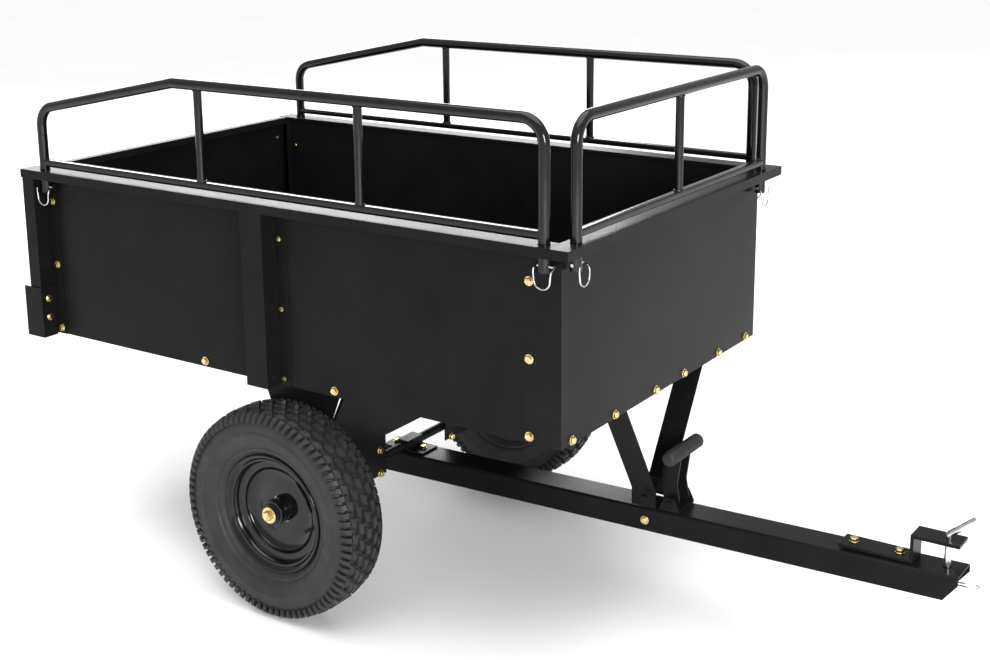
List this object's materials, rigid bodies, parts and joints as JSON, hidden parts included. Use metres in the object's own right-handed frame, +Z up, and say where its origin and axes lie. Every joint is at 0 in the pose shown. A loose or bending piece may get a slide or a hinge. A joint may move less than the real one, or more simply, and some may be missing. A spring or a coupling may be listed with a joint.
{
  "type": "tow behind cart",
  "caption": "Black steel tow behind dump cart: panelled bed with tube rails, lift-out tailgate, tilting axle on pneumatic wheels and a channel tongue with a pin hitch.",
  "frame": {"origin": "on the ground under the middle of the whole cart", "axes": "+X forward to the hitch, +Y to the cart's left, +Z up"},
  "size_m": [1.8756, 0.908, 1.011],
  "materials": {
    "black_coat": "satin",
    "gloss_black": "gloss",
    "bright_zinc": "zinc plated",
    "yellow_zinc": "yellow zinc plated",
    "tyre_rubber": "matte",
    "black_rubber": "matte"
  },
  "bodies": {
    "tongue": {"tongue_beam": "black_coat", "hitch_bracket": "black_coat", "hitch_bolt_1": "yellow_zinc", "hitch_bolt_2": "yellow_zinc", "tongue_saddle": "black_coat", "saddle_bolt_1": "yellow_zinc", "saddle_bolt_2": "yellow_zinc", "latch_stand": "black_coat", "latch_pivot": "black_coat"},
    "bed": {"front_panel": "black_coat", "top_rim_front": "black_coat", "floor_front": "black_coat", "floor_rear": "black_coat", "axle": "black_coat", "latch_crossbar": "black_coat", "side_panel_front_right": "black_coat", "side_panel_rear_right": "black_coat", "side_channel_right": "black_coat", "rear_post_right": "black_coat", "stop_bracket_right": "black_coat", "top_rim_right": "black_coat", "wheel_support_right": "black_coat", "axle_brace_right": "black_coat", "axle_clamp_right": "black_coat", "latch_strut_right": "black_coat", "axle_bolt_right": "yellow_zinc", "side_panel_front_left": "black_coat", "side_panel_rear_left": "black_coat", "side_channel_left": "black_coat", "rear_post_left": "black_coat", "stop_bracket_left": "black_coat", "top_rim_left": "black_coat", "wheel_support_left": "black_coat", "axle_brace_left": "black_coat", "axle_clamp_left": "black_coat", "latch_strut_left": "black_coat", "axle_bolt_left": "yellow_zinc"},
    "hitch_pin": {"hitch_pin": "bright_zinc"},
    "hitch_pin_clip": {"hitch_pin_clip": "bright_zinc"},
    "latch": {"latch_lever": "black_coat", "latch_grip": "black_rubber"},
    "tailgate": {"tailgate": "black_coat"},
    "wheel_right": {"tyre_right": "tyre_rubber", "rim_right": "gloss_black", "hub_right": "black_coat", "valve_stem_right": "black_rubber"},
    "rail_right": {"rail_right": "gloss_black"},
    "wheel_left": {"tyre_left": "tyre_rubber", "rim_left": "gloss_black", "hub_left": "black_coat", "valve_stem_left": "black_rubber"},
    "rail_left": {"rail_left": "gloss_black"},
    "rail_front": {"rail_front": "gloss_black"},
    "lock_pin_front_right": {"lock_pin_front_right": "bright_zinc"},
    "lock_pin_front_left": {"lock_pin_front_left": "bright_zinc"},
    "lock_pin_rear_right": {"lock_pin_rear_right": "bright_zinc"},
    "lock_pin_rear_left": {"lock_pin_rear_left": "bright_zinc"},
    "lock_pin_nose_right": {"lock_pin_nose_right": "bright_zinc"},
    "lock_pin_nose_left": {"lock_pin_nose_left": "bright_zinc"}
  },
  "joints": [
    {"name": "bed_tip", "type": "hinge", "parent": "tongue", "child": "bed", "pos_m": [-0.2568, 0, 0.208], "axis": [0, -1, 0], "range_deg": [0, 31]},
    {"name": "latch_release", "type": "hinge", "parent": "tongue", "child": "latch", "pos_m": [0.3702, 0, 0.232], "axis": [0, 1, 0], "range_deg": [0, 22], "stiffness_Nm_per_rad": 2, "springref_deg": -22.92},
    {"name": "hitch_pin_lift", "type": "slide", "parent": "tongue", "child": "hitch_pin", "axis": [0, 0, 1], "range_m": [0, 0.015]},
    {"name": "hitch_clip_pull", "type": "slide", "parent": "hitch_pin", "child": "hitch_pin_clip", "axis": [1, 0, 0], "range_m": [0, 0.06]},
    {"name": "tailgate_lift", "type": "slide", "parent": "bed", "child": "tailgate", "axis": [0, 0, 1], "range_m": [0, 0.35]},
    {"name": "wheel_spin_right", "type": "hinge", "parent": "bed", "child": "wheel_right", "pos_m": [-0.2568, -0.4, 0.208], "axis": [0, 1, 0], "continuous": true},
    {"name": "wheel_spin_left", "type": "hinge", "parent": "bed", "child": "wheel_left", "pos_m": [-0.2568, 0.4, 0.208], "axis": [0, 1, 0], "continuous": true},
    {"name": "rail_right_lift", "type": "slide", "parent": "bed", "child": "rail_right", "axis": [0, 0, 1], "range_m": [0, 0.013]},
    {"name": "rail_left_lift", "type": "slide", "parent": "bed", "child": "rail_left", "axis": [0, 0, 1], "range_m": [0, 0.013]},
    {"name": "rail_front_lift", "type": "slide", "parent": "bed", "child": "rail_front", "axis": [0, 0, 1], "range_m": [0, 0.013]},
    {"name": "lock_pin_front_right_pull", "type": "slide", "parent": "rail_right", "child": "lock_pin_front_right", "axis": [1, 0, 0], "range_m": [0, 0.045]},
    {"name": "lock_pin_rear_right_pull", "type": "slide", "parent": "rail_right", "child": "lock_pin_rear_right", "axis": [1, 0, 0], "range_m": [0, 0.045]},
    {"name": "lock_pin_nose_right_pull", "type": "slide", "parent": "rail_front", "child": "lock_pin_nose_right", "axis": [0, 1, 0], "range_m": [0, 0.045]},
    {"name": "lock_pin_front_left_pull", "type": "slide", "parent": "rail_left", "child": "lock_pin_front_left", "axis": [1, 0, 0], "range_m": [0, 0.045]},
    {"name": "lock_pin_rear_left_pull", "type": "slide", "parent": "rail_left", "child": "lock_pin_rear_left", "axis": [1, 0, 0], "range_m": [0, 0.045]},
    {"name": "lock_pin_nose_left_pull", "type": "slide", "parent": "rail_front", "child": "lock_pin_nose_left", "axis": [0, -1, 0], "range_m": [0, 0.045]}
  ]
}
